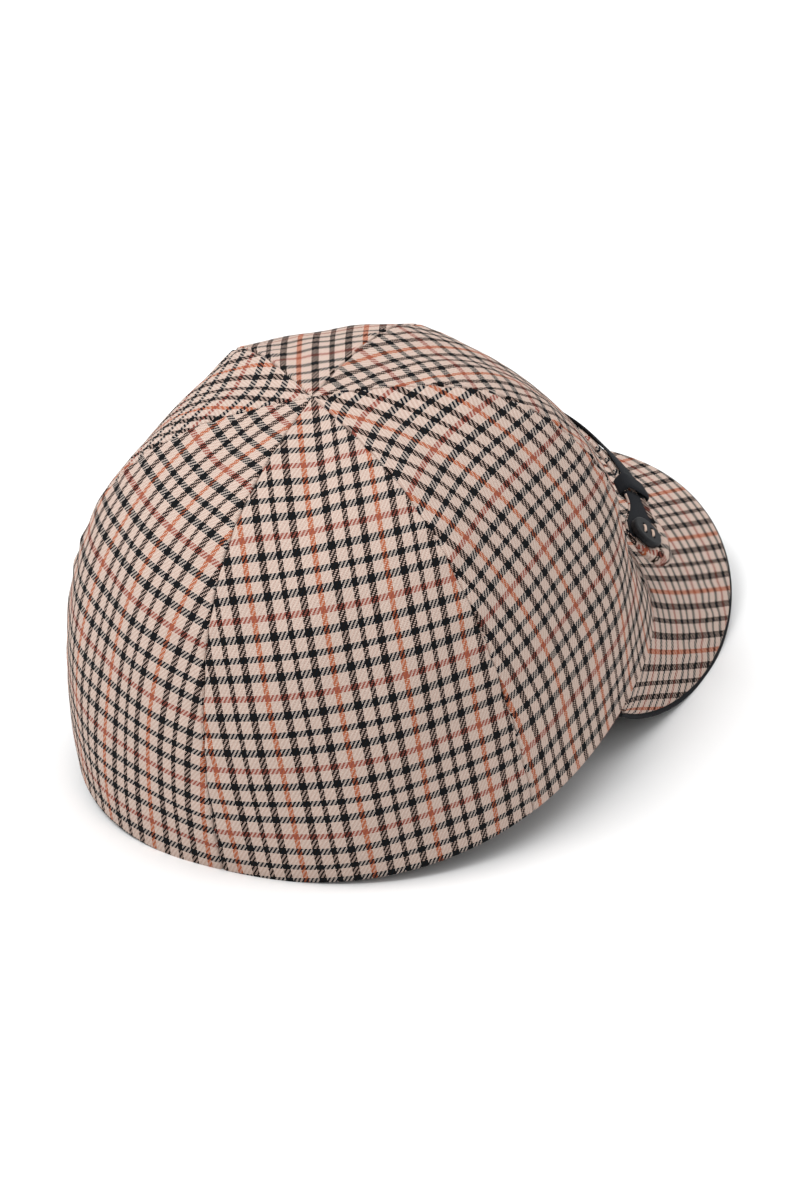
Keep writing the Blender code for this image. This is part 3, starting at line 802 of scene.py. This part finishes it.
def makeButtonPlastic():
    material, tree, shader = newMaterial("buttonPlastic")
    grain = speckled(tree, shader, button["grain"], button["darkest"], button["lightest"])
    rough = calc(tree, "ADD", button["gloss"], calc(tree, "MULTIPLY", grain, button["glossVaries"]))
    plug(tree, rough, shader.inputs["Roughness"])
    shader.inputs["Specular IOR Level"].default_value = button["specular"]
    return material


def makeThread():
    material, tree, shader = newMaterial("buttonThread")
    speckled(tree, shader, button["threadGrain"], button["threadDark"], button["threadLight"])
    shader.inputs["Roughness"].default_value = button["threadRoughness"]
    return material


buttonPlastic = makeButtonPlastic()
threadMaterial = makeThread()


def threadBars(name, sign):
    # Two bars of thread, each an arch from hole to hole across the button's face.
    spot = np.array([sign * strapAngles(button["fromTip"])]).ravel()
    zero = np.zeros(1)
    centre = atRest(strapPoint(spot, zero + button["above"], zero))[0]
    out = unit(atRest(strapPoint(spot, zero + button["above"], zero + 0.01))[0] - centre)
    up = unit(atRest(strapPoint(spot, zero + 0.01, zero))[0] - atRest(strapPoint(spot, zero, zero))[0])
    along = np.cross(up, out)
    face = centre + out * (strap["tabCloth"] / 2 + strap["gap"] + button["thickness"])
    half = button["holeSpacing"] / 2
    turn = np.linspace(0, 2 * math.pi, button["threadSides"] + 1)[:-1]
    share = np.linspace(-1, 1, button["threadRings"])[:, None]
    place = np.arange(share.size * turn.size).reshape(share.size, turn.size)
    beside = np.roll(place, -1, axis=1)
    quads = np.stack([place[:-1], beside[:-1], beside[1:], place[1:]], -1).reshape(-1, 4)
    narrow = np.sqrt(np.maximum(1 - share ** button["threadPower"], button["threadLeast"]))
    radius = button["threadWidth"] / 2 * narrow
    ring = up * np.cos(turn)[:, None] + out * np.sin(turn)[:, None] * button["threadFlat"]
    arch = out * (button["threadRise"] * (1 - share**4) - button["threadSink"])
    points, faces = [], []
    for row in (-1, 1):
        start = place.size * len(points)
        middle = face + up * row * half + along * half * share + arch
        points.append((middle[:, None, :] + ring * radius[:, None]).reshape(-1, 3))
        ends = [(place[0, ::-1] + start).tolist(), (place[-1] + start).tolist()]
        faces += (quads + start).tolist() + ends
    piece = newPiece(name, np.concatenate(points), faces)
    piece.data.materials.append(threadMaterial)
    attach(piece, "root")


for side, sign in (("right", 1), ("left", -1)):
    solid = nodes["button_" + side]
    for slot in solid.material_slots:
        slot.material = buttonPlastic
    threadBars("button_thread_" + side, sign)
print("buttons made")


studio = {
    "floor": (0.86, 0.86, 0.86, 1), "floorHalf": 30.0, "floorRoughness": 0.9, "floorSpecular": 0.1,
    "world": 0.75, "aim": (0, 0, 0.05),
    "keyPlace": (0.6, 0.9, 1.6), "keySize": 1.0, "keyPower": 22.0,
    "topPlace": (-0.3, 0.0, 1.9), "topSize": 1.6, "topPower": 14.0,
    "target": (-0.01117, 0.03638, 0.0474), "azimuth": 205.0, "elevation": 25.4,
    "distance": 1.3, "sensor": 36.0, "lens": 126.03,
}


def makeFloor():
    corners = np.array([(-1, -1, 0), (1, -1, 0), (1, 1, 0), (-1, 1, 0)]) * studio["floorHalf"]
    floor = newPiece("floor", corners, [(0, 1, 2, 3)])
    material, _, shader = newMaterial("paleFloor")
    shader.inputs["Base Color"].default_value = studio["floor"]
    shader.inputs["Roughness"].default_value = studio["floorRoughness"]
    shader.inputs["Specular IOR Level"].default_value = studio["floorSpecular"]
    floor.data.materials.append(material)


def softLight(name):
    # A round area light that looks at the aim.
    place = Vector(studio[name + "Place"])
    light = bpy.data.lights.new(name + "Light", "AREA")
    light.shape = "DISK"
    light.size = studio[name + "Size"]
    light.energy = studio[name + "Power"]
    lamp = bpy.data.objects.new(name + "Light", light)
    lamp.location = place
    lamp.rotation_euler = (Vector(studio["aim"]) - place).to_track_quat("-Z", "Y").to_euler()
    bpy.context.scene.collection.objects.link(lamp)


def makeWorld():
    world = bpy.data.worlds.new("studio")
    world.use_nodes = True
    background = world.node_tree.nodes["Background"]
    background.inputs["Color"].default_value = (1, 1, 1, 1)
    background.inputs["Strength"].default_value = studio["world"]
    bpy.context.scene.world = world


def makeCamera():
    # Azimuth 0 is in front of the peak, and the camera looks back along the line away from the target.
    azimuth, elevation = math.radians(studio["azimuth"]), math.radians(studio["elevation"])
    away = Vector((math.sin(azimuth) * math.cos(elevation), -math.cos(azimuth) * math.cos(elevation),
                   math.sin(elevation)))
    lens = bpy.data.cameras.new("camera")
    lens.sensor_width = studio["sensor"]
    lens.lens = studio["lens"]
    camera = bpy.data.objects.new("camera", lens)
    camera.location = Vector(studio["target"]) + away * studio["distance"]
    camera.rotation_euler = (-away).to_track_quat("-Z", "Y").to_euler()
    bpy.context.scene.collection.objects.link(camera)
    bpy.context.scene.camera = camera


makeFloor()
makeWorld()
softLight("key")
softLight("top")
makeCamera()
bpy.context.scene.view_settings.view_transform = "Standard"
print("studio made")
